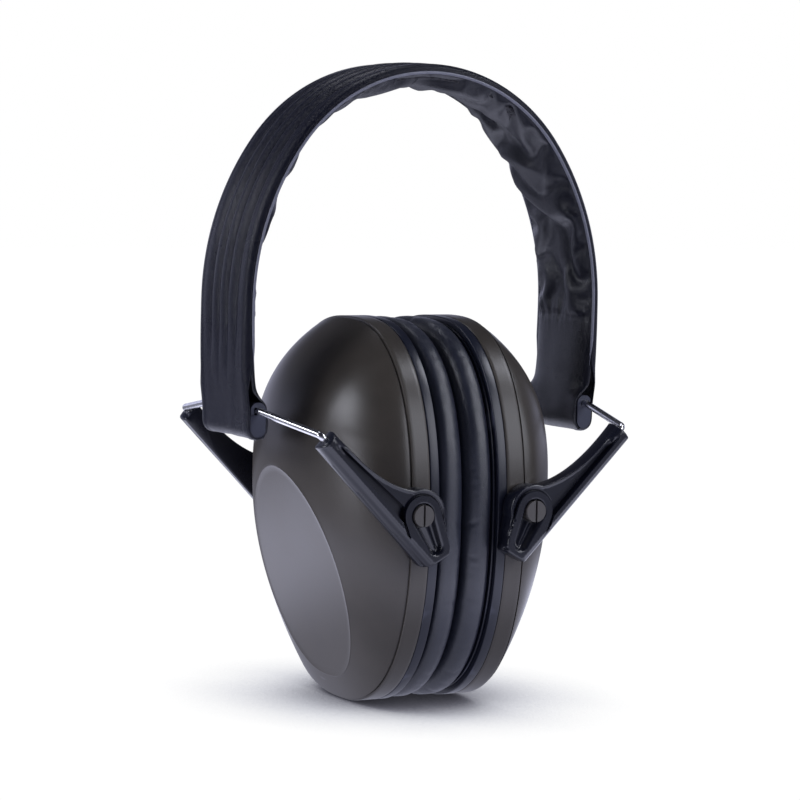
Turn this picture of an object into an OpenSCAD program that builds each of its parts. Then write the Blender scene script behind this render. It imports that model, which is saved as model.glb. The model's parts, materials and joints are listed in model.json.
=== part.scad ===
// Folding earmuff hearing protector.
//
// A padded spring headband carries two ear cups. Each end of the headband holds
// a steel wire bracket that folds inward; the wire's two legs slide in a pair of
// plastic arms, and the arms hold the cup on two split studs.
//
// Millimetres. The origin is the centre of the footprint, level with the lowest
// point of the cups. +Z is up, -Y is the front, and left is -X. Every side part
// is drawn once, for the right (+X) side, and mirrored for the left.

/* [Ear cups] */
// Height of an ear cup
cup_h = 108; // [104:1:110]
// Depth of an ear cup, front to back
cup_w = 81; // [79:1:82]
// Squareness of the cup outline: 2 is an ellipse
cup_square = 2.45; // [2.2:0.05:2.6]
// How far the dome stands out from the rim band
dome_d = 21.5; // [20:0.5:22]
// Wall of the moulded shell
wall = 2.2; // [2:0.1:2.6]
// Tilt of the flat oval on the dome, from vertical
facet_tilt = 17; // [16:0.5:18]

/* [Cushions] */
// Thickness of one ear cushion
cushion_t = 8.1; // [7.6:0.1:8.1]
// Width of the cushion ring between its outer and inner edge
cushion_w = 15; // [13:1:16]
// Thickness of the cushion skin
skin_t = 1; // [0.8:0.1:1.2]

/* [Headband] */
// Width of the headband, front to back
band_w = 30; // [29:1:31]
// Half of the headband's outside width
band_half = 57; // [57:0.5:58]
// Radius of the crown bend, outside
crown_r = 52; // [51:0.5:52]
// Thickness of the padded band
band_t = 5.6; // [5.6:0.1:6]

/* [Folding wire and arms] */
// Diameter of the wire
wire_d = 2; // [1.8:0.1:2]
// Outside diameter of an arm's tube
tube_d = 6; // [5.8:0.1:6.2]
// Length of wire inside an arm when the cup is at its highest
leg_in = 28; // [26:1:30]
// Slope of the wire legs below horizontal
leg_slope = 45.5; // [45:0.5:46]
// Diameter of a pivot stud's head
stud_d = 5.9; // [5.6:0.1:6]

/* [Hidden] */

$fn = 48;
eps = 0.01;
run = 0.05;           // radial clearance of a running fit
gap = 0.1;            // clearance between parts that are clipped together

// Stations out from the middle plane, through one cup
cushion_x = 0.2;                        // sealing face of the cushion
carrier_x = cushion_x + cushion_t + gap; // plate that the cushion is welded to
carrier_t = 0.7;
plate_x = carrier_x + carrier_t + gap;   // black seal plate
plate_t = 2.8;
shell_x = plate_x + plate_t + gap / 2;   // mouth of the olive shell
band_x = shell_x + 5.4;                  // outer edge of the shell's rim band
dome_x = band_x + 0.6;                   // foot of the dome, past the groove
groove = 0.5;                            // depth of the groove

cup_z = cup_h / 2;
pin_x = 17.5;         // pivot of the cup in its arms
pin_z = cup_z + 3;
fold_x = 52;          // pivot of the wire in the end of the headband
fold_z = pin_z + 26.2;

cup_steps = 48;       // corners of an outline that is nearly an ellipse
dome_steps = 9;
dome_lift = 13;       // how far the dome's tip is above the cup's middle
foam_inset = 9;       // between the acoustic foam and the outside of the cup
facet_reach = 35;     // distance of the flat oval from the pivot, along its normal

// Headband arch: a crown arc, a side arc and a long lower arc, on each side
arch_z = pin_z + 55;  // height of the widest point
arch_rise = 67.2;     // from there to the top of the crown
crown_z = arch_z + arch_rise - crown_r;
crown_dz = arch_rise - crown_r;
side_r = (pow(band_half, 2) + pow(crown_dz, 2) - pow(crown_r, 2)) / (2 * (band_half - crown_r));
side_x = band_half - side_r;
side_a = atan2(crown_dz, -side_x);
lower_r = 300;
lower_x = band_half - lower_r;

cover_t = 1.3;        // outer covering with its wadding
spring_at = 2.2;      // depth of the spring below the outer face
spring_t = 0.8;
spring_w = 20;
foam_at = spring_at + spring_t + gap;
foam_t = 1.6;
lining_t = 0.8;
seam_at = 2.9;        // depth of the seam between cover and lining
spring_end_z = fold_z + 4.2;
sleeve_t = 0.9;       // covering around the end fitting
fitting_w = 4.6;
fitting_h = 9.6;
fitting_z = fold_z - 2.4; // middle of the end fitting
cover_end_z = fitting_z + 3;
tang_at = foam_at;
tang_t = 1.2;
tang_top_z = fold_z + 13.6;
rivet_z = fold_z + 7.6;
rivet_y = 5;

// Arms, in the plane through the legs of the wire
leg_y = 43;           // distance of each leg from the middle
arm_front = 46.6;     // outer face of an arm
arm_back = 40.8;
seat_y = 39.4;        // flat on the cup that an arm turns against
tip = [pin_x + 28.5, pin_z + 21];
leg = [-cos(leg_slope), -sin(leg_slope)];
bend = tip - 1.7 * leg;
boss_r = 7.3;
stud_shank_d = 4.9;
stud_out = arm_front + 0.6;
head_in = arm_front - 3.1;

// ---------------------------------------------------------------- helpers

// Rim outlines: radius at angle a of an oval between an ellipse and a rectangle
function oval_r(a, hw, hh, n) =
    pow(pow(abs(cos(a)) / hw, n) + pow(abs(sin(a)) / hh, n), -1 / n);
function oval_pt(a, hw, hh, n) = oval_r(a, hw, hh, n) * [cos(a), sin(a)];

module oval(inset) {
    polygon([for (i = [0 : cup_steps - 1])
        oval_pt(i * 360 / cup_steps, cup_w / 2 - inset, cup_h / 2 - inset, cup_square)]);
}

// A plate that spans x0 to x1, drawn as a 2D shape in the cup's own plane
module across(x0, x1) {
    translate([x0, 0, cup_z]) rotate([90, 0, 90]) linear_extrude(x1 - x0) children();
}

module oval_ring(x0, x1, outer, inner) {
    across(x0, x1) difference() {
        oval(outer);
        oval(inner);
    }
}

// A bar along the front-to-back direction, drawn as a 2D shape in x and z
module along(y0, y1) {
    translate([0, y1, 0]) rotate([90, 0, 0]) linear_extrude(y1 - y0) children();
}

module on_left() mirror([1, 0, 0]) children();
module at_rear() mirror([0, 1, 0]) children();

function lower_a(z) = asin((z - arch_z) / lower_r);

// Area under the arch, at some depth below its outer face, down to end_z
module under_arch(depth, end_z) {
    tangent_z = crown_z + crown_r * sin(side_a);
    intersection() {
        translate([0, crown_z]) circle(crown_r - depth, $fn = 96);
        translate([-band_half, arch_z]) square(2 * band_half);
    }
    intersection() {
        for_both_sides(side_x, arch_z, side_r - depth);
        translate([-band_half, arch_z]) square([2 * band_half, tangent_z - arch_z]);
    }
    intersection() {
        for_both_sides(lower_x, arch_z, lower_r - depth);
        translate([-band_half, end_z]) square([2 * band_half, arch_z - end_z]);
    }
}

// The area that two equal circles share, one centred on each side
module for_both_sides(cx, cz, r) {
    intersection() {
        translate([cx, cz]) circle(r, $fn = 180);
        translate([-cx, cz]) circle(r, $fn = 180);
    }
}

// A layer of the band: from one depth to another, w wide, down to end_z
module layer(from, to, w, end_z) {
    along(-w / 2, w / 2) difference() {
        under_arch(from, end_z);
        under_arch(to, end_z - 1);
    }
}

// The stadium outline of the end fitting, grown by some amount
module stadium(grow) {
    r = fitting_w / 2 + grow;
    dz = (fitting_h - fitting_w) / 2;
    for (s = [-1, 1]) translate([fold_x, fitting_z + s * dz]) circle(r);
    translate([fold_x - r, fitting_z - dz]) square([2 * r, 2 * dz]);
}

// A rod between two points
module rod(a, b, d) {
    v = b - a;
    translate(a) rotate([0, acos(v[2] / norm(v)), atan2(v[1], v[0])]) cylinder(h = norm(v), d = d);
}

// ---------------------------------------------------------------- headband

module headband_spring() {
    color("silver") difference() {
        layer(spring_at, spring_at + spring_t, spring_w, spring_end_z);
        rivets(1.5 + run, false);
        on_left() rivets(1.5 + run, false);
    }
}

module headband_cover() {
    color("midnightblue") {
        difference() {
            layer(0, seam_at - gap, band_w, cover_end_z);
            layer(cover_t, seam_at + 1, band_w - 2 * cover_t, cover_end_z - 1);
            end_space();
            on_left() end_space();
        }
        sleeve();
        on_left() sleeve();
    }
}

// Room for the end fitting
module end_space() along(-band_w, band_w) stadium(gap);

// The covering turns under the end fitting and up its inner side
module sleeve() {
    along(-band_w / 2, band_w / 2) difference() {
        stadium(gap + sleeve_t);
        stadium(gap);
        translate([fold_x - 1.2, fitting_z]) square([3.2, fitting_h]);
    }
}

module headband_lining() {
    w = band_w - 0.8;
    color("black") difference() {
        layer(seam_at, band_t, w, spring_end_z + 1);
        layer(seam_at - 1, band_t - lining_t, w - 2 * lining_t, spring_end_z);
    }
}

module crown_foam() {
    color("gainsboro") intersection() {
        layer(foam_at, foam_at + foam_t, band_w - 6, arch_z - 1);
        translate([-32, -band_w, crown_z]) cube([64, 2 * band_w, crown_r]);
    }
}

// ---------------------------------------------------------------- band ends

// Both rivets of one end, in the direction that is square to the band there
module rivets(r, heads) {
    for (s = [-1, 1]) translate([lower_x, s * rivet_y, arch_z])
        rotate([0, 90 - lower_a(rivet_z), 0]) translate([0, 0, lower_r - tang_at - tang_t]) {
            cylinder(r = r, h = tang_t + gap + spring_t);
            if (heads) {
                translate([0, 0, -0.4]) cylinder(r = r + 0.9, h = 0.4 - run);
                translate([0, 0, tang_t + gap + spring_t + run]) cylinder(r = r + 0.9, h = 0.5);
                translate([0, 0, -0.4]) cylinder(r = r, h = tang_t + gap + spring_t + 0.8);
            }
        }
}

module end_fitting() {
    color("black") difference() {
        union() {
            along(-band_w / 2, band_w / 2) stadium(0);
            intersection() {
                layer(tang_at, tang_at + tang_t, spring_w - 2, fold_z + 1.6);
                translate([0, -band_w, 0]) cube([band_half, 2 * band_w, tang_top_z]);
            }
        }
        rivets(1.5 + run, false);
        rod([fold_x, -band_w, fold_z], [fold_x, band_w, fold_z], wire_d + 2 * run);
        translate([fold_x, -band_w, fold_z - wire_d / 2 - run])
            cube([fitting_w, 2 * band_w, wire_d + 2 * run]);
    }
}

module wire_keeper() {
    color("dimgray") translate([fold_x + wire_d / 2 + 2 * run, 2 * gap - band_w / 2, fold_z - wire_d / 2])
        cube([1, band_w - 4 * gap, wire_d]);
}

module end_rivets() color("silver") rivets(1.5, true);

// ---------------------------------------------------------------- wire and arms

// One bent wire: a pivot through the end fitting, two diagonal shanks, two legs
module wire() {
    half = band_w / 2 + 1.2;
    leg_end = tip + leg_in * leg;
    color("lightgray") {
        rod([fold_x, -half, fold_z], [fold_x, half, fold_z], wire_d);
        for (s = [-1, 1]) {
            root = [fold_x, s * half, fold_z];
            knee = [bend[0], s * leg_y, bend[1]];
            translate(root) sphere(d = wire_d + run, $fn = 32);
            rod(root, knee, wire_d);
            translate(knee) sphere(d = wire_d + run, $fn = 32);
            rod(knee, [leg_end[0], s * leg_y, leg_end[1]], wire_d);
        }
    }
}

// Upper edge of the web between the tube and the boss, a curve through three controls
function curve3(a, b, c, t) = (1 - t) * (1 - t) * a + 2 * t * (1 - t) * b + t * t * c;

module arm_outline() {
    side = [-leg[1], leg[0]] * tube_d / 2; // from the tube's axis to its lower edge
    low = tip + side;
    high = tip - side;
    pin = [pin_x, pin_z];
    foot = pin + [-1.6, -14.6];
    heel = pin + [-5.5, -12.6];
    toe = pin + [-8.9, -10.6];
    translate(pin) circle(boss_r);
    polygon(concat(
        [low, foot, heel, toe, pin + [-boss_r + 0.2, -1.6], pin + [2.4, boss_r - 0.45]],
        [for (i = [1 : 8]) curve3(pin + [2.4, boss_r - 0.45], pin + [14, boss_r + 1.4], high, i / 8)]
    ));
}

// Detent recess that runs from the stud down to the toe
module arm_slot() {
    d = [-3.4, -9];
    a = [pin_x, pin_z];
    n = [d[1], -d[0]] / norm(d);
    translate(a + d) circle(1.5, $fn = 24);
    polygon([a + n * 3.2, a + d + n * 1.5, a + d - n * 1.5, a - n * 3.2]);
}

// Shallow recess in the web between the tube's ridge and the boss
module arm_web() {
    p = [pin_x, pin_z];
    polygon([p + [8.6, 4.6], p + [14, 6.8], p + [21, 12.2], p + [15, 6.4], p + [8.4, -1.2]]);
}

module arm() {
    color("black") difference() {
        union() {
            along(-arm_front, -arm_back) arm_outline();
            along(-arm_back - eps, -seat_y - gap) translate([pin_x, pin_z]) circle(d = 9);
        }
        along(-arm_front - 1, -arm_front + 2.4) arm_slot();
        along(-arm_front - 1, -arm_front + 1.4) arm_web();
        along(-arm_front - 1, -head_in + gap) translate([pin_x, pin_z]) circle(d = stud_d + 1);
        along(-arm_front - 1, -seat_y + 1) translate([pin_x, pin_z]) circle(d = stud_shank_d + 2 * run);
        rod(
            [tip[0] - leg[0], -leg_y, tip[1] - leg[1]],
            [tip[0] + (leg_in + 3) * leg[0], -leg_y, tip[1] + (leg_in + 3) * leg[1]],
            wire_d + 2 * run
        );
    }
}

// A split stud: head, shank and two barbs that snap behind the cup's boss
module stud() {
    boss_in = seat_y - 5.4;
    color("darkolivegreen") difference() {
        translate([pin_x, 0, pin_z]) rotate([90, 0, 0]) {
            translate([0, 0, head_in]) cylinder(d = stud_d, h = stud_out - head_in);
            translate([0, 0, boss_in - 1.4]) cylinder(d = stud_shank_d, h = head_in - boss_in + 1.4 + eps);
            translate([0, 0, boss_in - 1.4]) cylinder(d = stud_shank_d + 1.4, h = 1.2);
        }
        translate([pin_x - 0.3, -stud_out - 1, pin_z - 5]) cube([0.6, 1.8, 10]);
        translate([pin_x - 0.4, -boss_in - 3, pin_z - 5]) cube([0.8, 6, 10]);
    }
}

// ---------------------------------------------------------------- ear cups

// One ring of points round the cup at x, scaled by sy and sz and lifted
function cup_ring(x, inset, sy = 1, sz = 1, lift = 0) = [for (i = [0 : cup_steps - 1])
    let (p = oval_pt(i * 360 / cup_steps, cup_w / 2 - inset, cup_h / 2 - inset, cup_square))
    [x, p[0] * sy, cup_z + lift + p[1] * sz]];

// Share of the cup's half width and half height left at a share q of the dome's depth
function dome_share_y(q) = pow(1 - pow(q, 1.83), 1 / 1.83);
function dome_share_z(q) = pow(1 - q, 0.52);

// Closed solid of the cup's outside, or of its inside when inset is the wall
module cup_solid(x0, inset) {
    depth = dome_d - inset;
    rings = concat(
        cup_ring(x0, inset),
        cup_ring(band_x, inset),
        cup_ring(dome_x, inset + groove),
        [for (k = [1 : dome_steps - 1]) let (q = sin(90 * k / dome_steps))
            each cup_ring(dome_x + depth * q, inset + groove,
                dome_share_y(q), dome_share_z(q), dome_lift * q)]
    );
    count = dome_steps + 2;
    last = (count - 1) * cup_steps;
    function nxt(i) = (i + 1) % cup_steps;
    polyhedron(
        points = concat(rings, [[dome_x + depth, 0, cup_z + dome_lift]]),
        faces = concat(
            [[for (i = [0 : cup_steps - 1]) i]],
            [for (k = [0 : count - 2], i = [0 : cup_steps - 1]) let (a = k * cup_steps, b = a + cup_steps)
                each [[a + i, b + i, b + nxt(i)], [a + i, b + nxt(i), a + nxt(i)]]],
            [for (i = [0 : cup_steps - 1]) [last + i, count * cup_steps, last + nxt(i)]]
        )
    );
}

// Everything outside the flat oval, moved in by some amount
module beyond_facet(inset) {
    translate([0, 0, pin_z]) rotate([0, facet_tilt, 0])
        translate([facet_reach - inset, -100, -100]) cube([100, 200, 200]);
}

module cup_shell() {
    inner_x = shell_x - 1;
    color("darkolivegreen") difference() {
        union() {
            difference() {
                cup_solid(shell_x, 0);
                beyond_facet(0);
                difference() {
                    cup_solid(inner_x, wall);
                    beyond_facet(wall);
                }
            }
            for (s = [-1, 1]) stud_place(s, seat_y - 5.4, seat_y - 0.3) circle(d = 10);
        }
        for (s = [-1, 1]) {
            stud_place(s, seat_y - 6, seat_y + 2) circle(d = stud_shank_d + 2 * run);
            translate([shell_x - 1, s > 0 ? seat_y : -seat_y - 5, pin_z - 17]) cube([14, 5, 25.5]);
        }
    }
}

// A round feature on the stud axis between two distances from the middle
module stud_place(s, y0, y1) {
    translate([pin_x, s > 0 ? y1 : -y0, pin_z]) rotate([90, 0, 0]) linear_extrude(y1 - y0) children();
}

module seal_plate() {
    color("#20242c") difference() {
        union() {
            oval_ring(plate_x, plate_x + plate_t, 0, cushion_w);
            oval_ring(plate_x + plate_t - eps, plate_x + plate_t + 3, wall + 0.3, wall + 1.6);
        }
        for (s = [-1, 1]) translate([plate_x + plate_t, s * (seat_y - 4) - 8, pin_z - 9]) cube([6, 16, 18]);
    }
}

// A block that fills the dome, cut flat towards the ear and clear of the stud barbs
module acoustic_foam() {
    color("#3a3d42") difference() {
        cup_solid(shell_x + 3.4, foam_inset);
        beyond_facet(wall + 2);
    }
}

module cushion_carrier() {
    color("black") oval_ring(carrier_x, carrier_x + carrier_t, 1.4, cushion_w - 1);
}

module cushion_skin() {
    back = cushion_x + cushion_t;
    color("#1a1e2a") difference() {
        oval_ring(cushion_x, back, 0.6, cushion_w + 1);
        oval_ring(cushion_x + skin_t, back + 1, 0.6 + skin_t, cushion_w + 1 - skin_t);
    }
}

module cushion_foam() {
    color("lightyellow") oval_ring(
        cushion_x + skin_t + gap, cushion_x + cushion_t - gap,
        0.6 + skin_t + gap, cushion_w + 1 - skin_t - gap
    );
}

// ---------------------------------------------------------------- assembly

headband_spring();
headband_cover();
headband_lining();
crown_foam();

on_left() end_fitting();  // left_end_fitting
on_left() wire_keeper();  // left_wire_keeper
on_left() end_rivets();  // left_end_rivets
on_left() wire();  // left_wire
on_left() arm();  // left_front_arm
on_left() at_rear() arm();  // left_rear_arm
on_left() stud();  // left_front_stud
on_left() at_rear() stud();  // left_rear_stud
on_left() cup_shell();  // left_cup_shell
on_left() seal_plate();  // left_seal_plate
on_left() acoustic_foam();  // left_acoustic_foam
on_left() cushion_carrier();  // left_cushion_carrier
on_left() cushion_skin();  // left_cushion_skin
on_left() cushion_foam();  // left_cushion_foam

end_fitting();  // right_end_fitting
wire_keeper();  // right_wire_keeper
end_rivets();  // right_end_rivets
wire();  // right_wire
arm();  // right_front_arm
at_rear() arm();  // right_rear_arm
stud();  // right_front_stud
at_rear() stud();  // right_rear_stud
cup_shell();  // right_cup_shell
seal_plate();  // right_seal_plate
acoustic_foam();  // right_acoustic_foam
cushion_carrier();  // right_cushion_carrier
cushion_skin();  // right_cushion_skin
cushion_foam();  // right_cushion_foam
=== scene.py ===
"""Folding earmuff hearing protector: the looks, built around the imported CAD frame.

Shapes are worked out in millimetres for the right (+X) side and mirrored for the left.
-Y is the front and +Z is up. Every place comes from the frame's joints and boxes.
"""

import json
import math

import bmesh
import bpy
import numpy as np
from mathutils import Matrix, Vector, geometry, noise


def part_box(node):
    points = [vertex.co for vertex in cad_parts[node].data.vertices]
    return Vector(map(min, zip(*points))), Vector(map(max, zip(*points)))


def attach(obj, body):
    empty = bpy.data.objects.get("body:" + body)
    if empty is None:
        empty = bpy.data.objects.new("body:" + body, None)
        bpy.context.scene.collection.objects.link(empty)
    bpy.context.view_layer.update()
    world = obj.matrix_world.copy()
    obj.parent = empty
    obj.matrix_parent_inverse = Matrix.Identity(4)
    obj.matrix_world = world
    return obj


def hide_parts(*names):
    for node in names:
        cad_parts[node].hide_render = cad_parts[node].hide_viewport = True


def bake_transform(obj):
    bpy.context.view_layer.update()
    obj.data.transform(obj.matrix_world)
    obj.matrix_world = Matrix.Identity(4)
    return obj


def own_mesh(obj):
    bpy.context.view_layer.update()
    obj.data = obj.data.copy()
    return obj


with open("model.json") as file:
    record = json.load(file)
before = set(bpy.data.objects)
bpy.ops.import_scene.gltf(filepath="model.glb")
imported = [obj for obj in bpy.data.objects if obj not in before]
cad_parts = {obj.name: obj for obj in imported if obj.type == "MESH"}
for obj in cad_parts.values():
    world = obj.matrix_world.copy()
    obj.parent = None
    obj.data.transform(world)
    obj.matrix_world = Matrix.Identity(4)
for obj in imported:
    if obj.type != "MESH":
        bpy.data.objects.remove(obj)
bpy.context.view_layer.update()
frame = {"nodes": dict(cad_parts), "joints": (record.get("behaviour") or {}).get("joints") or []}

MM = 0.001


def box_mm(node):
    low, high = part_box(node)
    return np.array(low) / MM, np.array(high) / MM


def joint(name):
    return next(j for j in frame["joints"] if j["name"] == name)


# ---- places from the frame
PIN = np.array(joint("right_cup_tilt")["pos_m"])[[0, 2]] / MM
FOLD = np.array(joint("right_wire_fold")["pos_m"])[[0, 2]] / MM
LEG = np.array(joint("right_height_slide")["axis"])[[0, 2]]
shell_low, _ = box_mm("right_cup_shell")
plate_low, plate_high = box_mm("right_seal_plate")
skin_low, skin_high = box_mm("right_cushion_skin")
carrier_low, carrier_high = box_mm("right_cushion_carrier")
foam_low, _ = box_mm("right_acoustic_foam")
_, arm_high = box_mm("right_front_arm")
stud_low, _ = box_mm("right_front_stud")
cover_low, cover_high = box_mm("headband_cover")
lining_low, lining_high = box_mm("headband_lining")

# ---- ear cups
CUP_HALF_Y = plate_high[1]
CUP_HALF_Z = (plate_high[2] - plate_low[2]) / 2
CUP_Z = (plate_high[2] + plate_low[2]) / 2
SQUARE = 2.45  # 2 would make the cup's outline an ellipse
WALL = 2.2  # thickness of the shell
BAND_W = 5.4  # rim band of the shell
GROOVE_W = 0.6
GROOVE = 0.5  # depth of the step between the rim band and the dome
DOME_X = shell_low[0] + BAND_W + GROOVE_W
DOME_D = 21.5
DOME_LIFT = 13.0  # how far the dome's tip lies above the cup's middle
DOME_EYE = np.array([DOME_X, 0, CUP_Z + 4.0])  # rays to the dome start here
FACET_TILT = math.radians(17)
FACET_REACH = 35.0
FACET_DROP = 10.5
BEAD = 0.13  # height of the fine edge round the flat oval
ROUND = 192  # points round a cup


def turn(count):
    """Angles evenly round a circle."""
    return np.arange(count) * 2 * math.pi / count


def oval(inset, count=ROUND):
    """Points of the cup's outline, moved in: an oval between an ellipse and a rectangle."""
    a = turn(count)
    hy, hz = CUP_HALF_Y - inset, CUP_HALF_Z - inset
    r = (np.abs(np.cos(a) / hy) ** SQUARE + np.abs(np.sin(a) / hz) ** SQUARE) ** (-1 / SQUARE)
    return np.stack([r * np.cos(a), CUP_Z + r * np.sin(a)], 1)


def section(x, inset, count=ROUND):
    """The cup's outline as points at one x."""
    return np.column_stack([np.full(count, x), oval(inset, count)])


# ---- mesh helpers
def show(thing):
    bpy.context.scene.collection.objects.link(thing)


def new_piece(name, points, faces, smooth=None):
    """An object from points in millimetres."""
    mesh = bpy.data.meshes.new(name)
    mesh.from_pydata([tuple(p) for p in np.asarray(points, float) * MM], [], [tuple(f) for f in faces])
    tidy = bmesh.new()
    tidy.from_mesh(mesh)
    bmesh.ops.recalc_face_normals(tidy, faces=tidy.faces)
    tidy.to_mesh(mesh)
    tidy.free()
    piece = bpy.data.objects.new(name, mesh)
    show(piece)
    if smooth is not None:
        shade(piece, smooth)
    return piece


def shade(piece, angle):
    """Smooth shading, with edges sharper than an angle in degrees kept sharp."""
    piece.data.shade_smooth()
    piece.data.set_sharp_from_angle(angle=math.radians(angle))


def apply_modifiers(piece):
    bpy.context.view_layer.update()
    depsgraph = bpy.context.evaluated_depsgraph_get()
    mesh = bpy.data.meshes.new_from_object(piece.evaluated_get(depsgraph))
    piece.modifiers.clear()
    piece.data = mesh


def copied(piece):
    other = piece.copy()
    other.data = piece.data.copy()
    show(other)
    return other


def mirrored(piece, name, axis):
    """A copy reflected through the middle plane across one axis."""
    other = copied(piece)
    other.name = name
    for v in other.data.vertices:
        v.co[axis] = -v.co[axis]
    other.data.flip_normals()
    return other


def ring_faces(rings, count, loop=False):
    """Quads between consecutive rings of count points each; with loop, back to the first ring as well."""
    faces = []
    for k in range(rings if loop else rings - 1):
        a, b = k * count, (k + 1) % rings * count
        for i in range(count):
            j = (i + 1) % count
            faces.append((a + i, a + j, b + j, b + i))
    return faces


def tube_faces(rings, count):
    """Quads between rings, with a cap at each end."""
    last = (rings - 1) * count
    return ring_faces(rings, count) + [tuple(range(count))[::-1], tuple(range(last, last + count))]


def fan(first, count, hub):
    """Triangles from count points in a ring to one point."""
    return [(first + i, first + (i + 1) % count, hub) for i in range(count)]


def combine(piece, tool, operation="DIFFERENCE"):
    """Takes tool away from piece, or joins it on, and deletes the tool."""
    m = piece.modifiers.new("combine", "BOOLEAN")
    m.operation, m.solver, m.object = operation, "EXACT", tool
    apply_modifiers(piece)
    bpy.data.objects.remove(tool)


def pin_cylinder(y0, y1, r, count=64):
    """A closed cylinder round the studs' line, as a tool."""
    a = turn(count)
    ring = np.stack([PIN[0] + r * np.cos(a), np.zeros(count), PIN[1] + r * np.sin(a)], 1)
    low, high = sorted((y0, y1))
    points = np.concatenate([ring + [0, low, 0], ring + [0, high, 0]])
    return new_piece("tool", points, tube_faces(2, count))


def smoothstep(a, b, x):
    t = np.clip((x - a) / (b - a), 0, 1)
    return t * t * (3 - 2 * t)


def waver(x, y, z):
    return noise.noise(Vector((x, y, z)))


# ---- shader nodes and materials
class Graph:
    """Short calls that add nodes to a tree and return the output socket worth linking."""

    def __init__(self, tree):
        self.nodes, self.links = tree.nodes, tree.links

    def put(self, socket, value):
        if isinstance(value, bpy.types.NodeSocket):
            self.links.new(value, socket)
        elif isinstance(value, tuple) and socket.type == "RGBA":
            socket.default_value = (*value, 1)
        else:
            socket.default_value = value

    def add(self, kind, inputs, **settings):
        """A node with its settings, and its inputs by name or number set or linked."""
        node = self.nodes.new("ShaderNode" + kind)
        for key, value in settings.items():
            setattr(node, key, value)
        for key, value in inputs.items():
            self.put(node.inputs[key], value)
        return node

    def read(self, kind, output):
        return self.add(kind, {}).outputs[output]

    def noise(self, scale, detail, roughness=0.5, stretch=(1, 1, 1), output="Fac"):
        """A noise in object space: scale is in cycles per metre."""
        way = self.add("Mapping", {"Vector": self.read("TexCoord", "Object"), "Scale": stretch})
        inputs = {"Vector": way.outputs["Vector"], "Scale": scale, "Detail": detail, "Roughness": roughness}
        return self.add("TexNoise", inputs).outputs[output]

    def ramp(self, value, *stops):
        node = self.add("ValToRGB", {"Fac": value})
        elements = node.color_ramp.elements
        while len(elements) < len(stops):
            elements.new(0.5)
        for element, (place, colour) in zip(elements, stops):
            element.position = place
            element.color = (*colour, 1)
        return node.outputs["Color"]

    def grey_ramp(self, value, low, dark, high, pale):
        return self.ramp(value, (low, grey(dark)), (high, grey(pale)))

    def bump(self, height, strength, distance, normal=None):
        inputs = {"Strength": strength, "Distance": distance, "Height": height}
        if normal is not None:
            inputs["Normal"] = normal
        return self.add("Bump", inputs).outputs["Normal"]

    def mix(self, factor, a, b):
        """The colour mix of a and b; sockets 0, 6 and 7 are the factor and the two colours."""
        return self.add("Mix", {0: factor, 6: a, 7: b}, data_type="RGBA").outputs[2]

    def maths(self, operation, *values):
        return self.add("Math", dict(enumerate(values)), operation=operation).outputs[0]


def grey(v):
    return (v, v, v)


def scaled(colour, share):
    return tuple(c * share for c in colour)


def material(name):
    """A new material of that name, with its node graph and shader."""
    m = bpy.data.materials.new(name)
    m.use_nodes = True
    return m, Graph(m.node_tree), m.node_tree.nodes["Principled BSDF"]


def fill(graph, shader, **inputs):
    """Sets or links the shader's inputs; an underscore in a name stands for a space."""
    for key, value in inputs.items():
        graph.put(shader.inputs[key.replace("_", " ")], value)


def plastic(name, colour, worn, rough, grain_scale, grain_depth, coat=0.0, coat_rough=0.1):
    """Moulded plastic: fine grain, uneven gloss, edges a little paler."""
    m, g, shader = material(name)
    cloud = g.noise(90, 5)
    tint = g.mix(g.grey_ramp(cloud, 0.35, 0, 0.7, 1), colour, scaled(colour, 1.18))
    convex = g.grey_ramp(g.read("NewGeometry", "Pointiness"), 0.53, 0, 0.62, 1)
    fill(g, shader, Base_Color=g.mix(convex, tint, worn),
         Roughness=g.grey_ramp(cloud, 0.3, rough * 0.95, 0.75, rough * 1.06),
         Normal=g.bump(g.noise(grain_scale, 2), 0.6, grain_depth),
         Coat_Weight=coat, Coat_Roughness=coat_rough)
    return m


def leatherette(name, colour, sheen, rough, cell_scale, depth, crease=0.0, gloss=0.5):
    """Coated fabric: pebbled grain of small cells, soft sheen, faint creases."""
    m, g, shader = material(name)
    warp = g.noise(cell_scale * 0.7, 2, output="Color")
    warped = g.add("MixRGB", {"Fac": 0.0006, "Color1": g.read("TexCoord", "Object"), "Color2": warp},
                   blend_type="LINEAR_LIGHT")
    cells = g.add("TexVoronoi", {"Vector": warped.outputs["Color"], "Scale": cell_scale, "Randomness": 0.9},
                  feature="DISTANCE_TO_EDGE")
    pebble = g.grey_ramp(cells.outputs["Distance"], 0, 0, 0.16, 1)
    cloud = g.noise(60, 5)
    tone = g.mix(g.grey_ramp(cloud, 0.3, 0, 0.75, 1), colour, scaled(colour, 1.25))
    normal = g.bump(g.noise(cell_scale * 3, 3), 0.4, depth * 0.5)
    if crease:
        normal = g.bump(g.noise(260, 3, 0.6, (1, 1, 2.2)), 0.8, crease, normal)
    fill(g, shader, Base_Color=g.mix(pebble, scaled(colour, 0.75), tone),
         Roughness=g.grey_ramp(cloud, 0.3, rough * 0.85, 0.75, rough * 1.15),
         Normal=g.bump(pebble, 0.55, depth, normal), Specular_IOR_Level=gloss,
         Sheen_Weight=sheen, Sheen_Roughness=0.45, Sheen_Tint=(0.62, 0.64, 0.85))
    return m


def metal(name, colour, rough, stretch):
    """Drawn steel: fine lengthwise scratches in its gloss."""
    m, g, shader = material(name)
    scratches = g.noise(900, 3, 0.6, stretch)
    fill(g, shader, Metallic=1, Base_Color=g.mix(g.noise(120, 4), colour, scaled(colour, 0.75)),
         Roughness=g.grey_ramp(scratches, 0.3, rough * 0.6, 0.7, rough * 1.5))
    return m


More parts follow.
